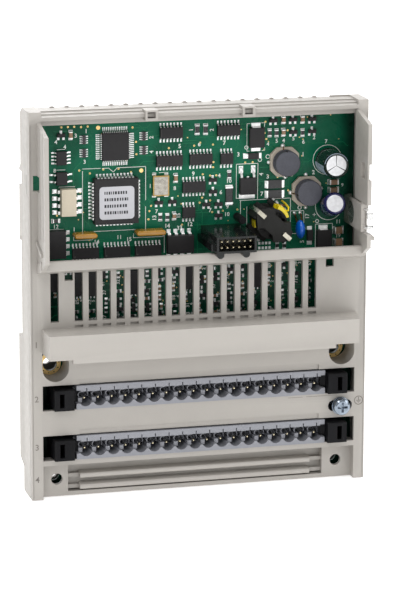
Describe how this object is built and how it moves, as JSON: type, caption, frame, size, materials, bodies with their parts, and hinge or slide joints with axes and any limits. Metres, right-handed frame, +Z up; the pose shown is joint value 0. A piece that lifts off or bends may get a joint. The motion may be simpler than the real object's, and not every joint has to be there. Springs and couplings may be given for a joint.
{
  "type": "programmable controller input/output base",
  "caption": "Flat rail-mounted controller I/O base with an open adapter bay over its circuit board, vent slots, pluggable terminal headers and a sprung rail latch.",
  "frame": {"origin": "middle of the rear face that rests on the mounting rail, half-way across the width", "axes": "+X to the right and +Z up as seen from the front, +Y into the wall; the front plate faces -Y"},
  "size_m": [0.125, 0.0349, 0.1415],
  "materials": {
    "case_beige": "fine moulded texture",
    "black_plastic": "satin moulded",
    "spring_steel": "drawn wire",
    "solder_mask": "glossy green solder mask",
    "header_grey": "satin moulded",
    "plated_steel": "zinc plated",
    "bright_clip": "bright plated",
    "cream_plastic": "satin moulded",
    "chip_black": "matte moulding compound",
    "label_white": "paper",
    "amber_coat": "dipped coating",
    "choke_base": "moulded",
    "ferrite": "fired and coated",
    "sleeve_slate": "shrunk sleeve",
    "sleeve_navy": "shrunk sleeve",
    "tape_yellow": "film tape",
    "blue_coat": "dipped coating",
    "clear_lens": "clear moulded"
  },
  "bodies": {
    "base": {"rear_housing": "case_beige", "front_cover": "case_beige", "clip_carrier": "case_beige", "latch_spring": "spring_steel", "circuit_board": "solder_mask", "terminal_header_upper": "header_grey", "terminal_header_lower": "header_grey", "earth_plate": "plated_steel", "ground_clip": "bright_clip", "adapter_connector": "black_plastic", "guide_pin": "black_plastic", "optocoupler_2": "cream_plastic", "suppressor_diode_1": "chip_black", "suppressor_diode_2": "chip_black", "power_transistor": "chip_black", "shunt_resistor_1": "chip_black", "shunt_resistor_2": "chip_black", "shunt_resistor_3": "chip_black", "microcontroller_label": "label_white", "oscillator": "bright_clip", "resistor_network_1": "amber_coat", "resistor_network_2": "amber_coat", "choke_base_1": "choke_base", "choke_base_2": "choke_base", "choke_core_1": "ferrite", "choke_core_2": "ferrite", "capacitor_1": "sleeve_slate", "capacitor_2": "sleeve_navy", "transformer_core": "ferrite", "transformer_bobbin": "tape_yellow", "transformer_clip_1": "plated_steel", "transformer_clip_2": "plated_steel", "disc_capacitor": "blue_coat", "status_light_left": "clear_lens", "status_light_right": "clear_lens", "gate_array": "chip_black", "microcontroller": "chip_black", "logic_chip_1": "chip_black", "logic_chip_2": "chip_black", "logic_chip_3": "chip_black", "logic_chip_4": "chip_black", "driver_chip_1": "chip_black", "driver_chip_2": "chip_black", "driver_chip_3": "chip_black", "driver_chip_4": "chip_black", "amplifier_chip_1": "chip_black", "amplifier_chip_2": "chip_black", "amplifier_chip_3": "chip_black", "optocoupler_1": "chip_black", "optocoupler_3": "chip_black", "optocoupler_4": "chip_black"},
    "latch": {"rail_latch": "black_plastic"},
    "lever_upper_left": {"release_lever_upper_left": "black_plastic"},
    "lever_upper_right": {"release_lever_upper_right": "black_plastic"},
    "lever_lower_left": {"release_lever_lower_left": "black_plastic"},
    "lever_lower_right": {"release_lever_lower_right": "black_plastic"},
    "earth_washer_body": {"earth_washer": "plated_steel"},
    "earth_screw_body": {"earth_screw": "plated_steel"}
  },
  "joints": [
    {"name": "latch_slide", "type": "slide", "parent": "base", "child": "latch", "axis": [0, 0, -1], "range_m": [0, 0.004], "stiffness_N_per_m": 500, "springref_m": -0.003, "deforming": ["latch_spring"]},
    {"name": "lever_upper_left_hinge", "type": "hinge", "parent": "base", "child": "lever_upper_left", "pos_m": [-0.05095, -0.0062, -0.03875], "axis": [0, 0, -1], "range_deg": [0, 12]},
    {"name": "lever_upper_right_hinge", "type": "hinge", "parent": "base", "child": "lever_upper_right", "pos_m": [0.0513, -0.0062, -0.03875], "axis": [0, 0, 1], "range_deg": [0, 12]},
    {"name": "lever_lower_left_hinge", "type": "hinge", "parent": "base", "child": "lever_lower_left", "pos_m": [-0.05095, -0.0062, -0.05735], "axis": [0, 0, -1], "range_deg": [0, 12]},
    {"name": "lever_lower_right_hinge", "type": "hinge", "parent": "base", "child": "lever_lower_right", "pos_m": [0.0513, -0.0062, -0.05735], "axis": [0, 0, 1], "range_deg": [0, 12]},
    {"name": "earth_clamp_slide", "type": "slide", "parent": "base", "child": "earth_washer_body", "axis": [0, -1, 0], "range_m": [0, 0.004]},
    {"name": "earth_screw_turn", "type": "hinge", "parent": "earth_washer_body", "child": "earth_screw_body", "pos_m": [0.0531, -0.0152, -0.0478], "axis": [0, -1, 0], "range_deg": [0, 2060]}
  ],
  "couplings": [
    {"joint": "earth_screw_turn", "follows": "earth_clamp_slide", "rad_per_m": 8976}
  ]
}
